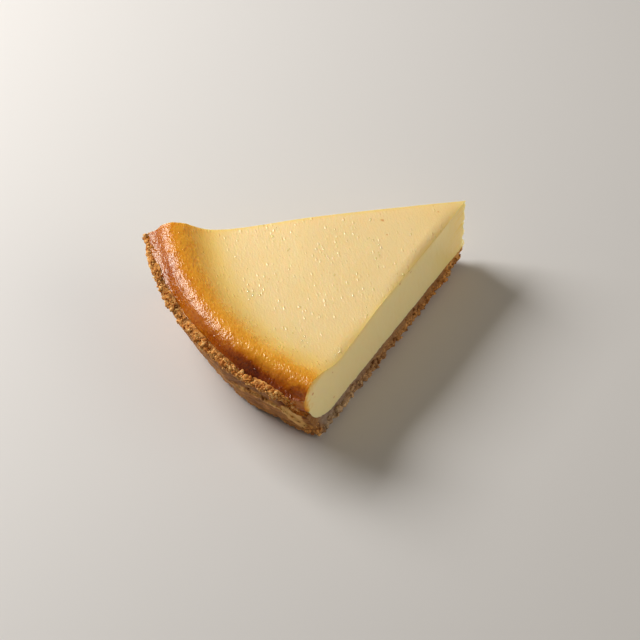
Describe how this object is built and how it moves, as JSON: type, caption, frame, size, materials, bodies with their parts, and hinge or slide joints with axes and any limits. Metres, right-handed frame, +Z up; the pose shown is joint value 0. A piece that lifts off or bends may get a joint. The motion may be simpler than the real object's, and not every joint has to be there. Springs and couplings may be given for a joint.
{
  "type": "slice of cheesecake",
  "caption": "A cut slice of baked cheesecake: smooth custard filling with a browned, swollen rim in a crumb crust of a base and a sloping wall.",
  "frame": {"origin": "centre of the slice's box at the flat underside of the crust", "axes": "+X from the crust wall to the slice's tip, +Y towards the back cut, +Z up"},
  "size_m": [0.1152, 0.093, 0.0333],
  "materials": {
    "crust": "rough baked biscuit crumbs, tan to orange brown",
    "filling": "moist satin custard, cream yellow, browned to amber at the rim"
  },
  "bodies": {
    "root": {"crumb_crust": "crust", "custard_filling": "filling"}
  },
  "joints": []
}
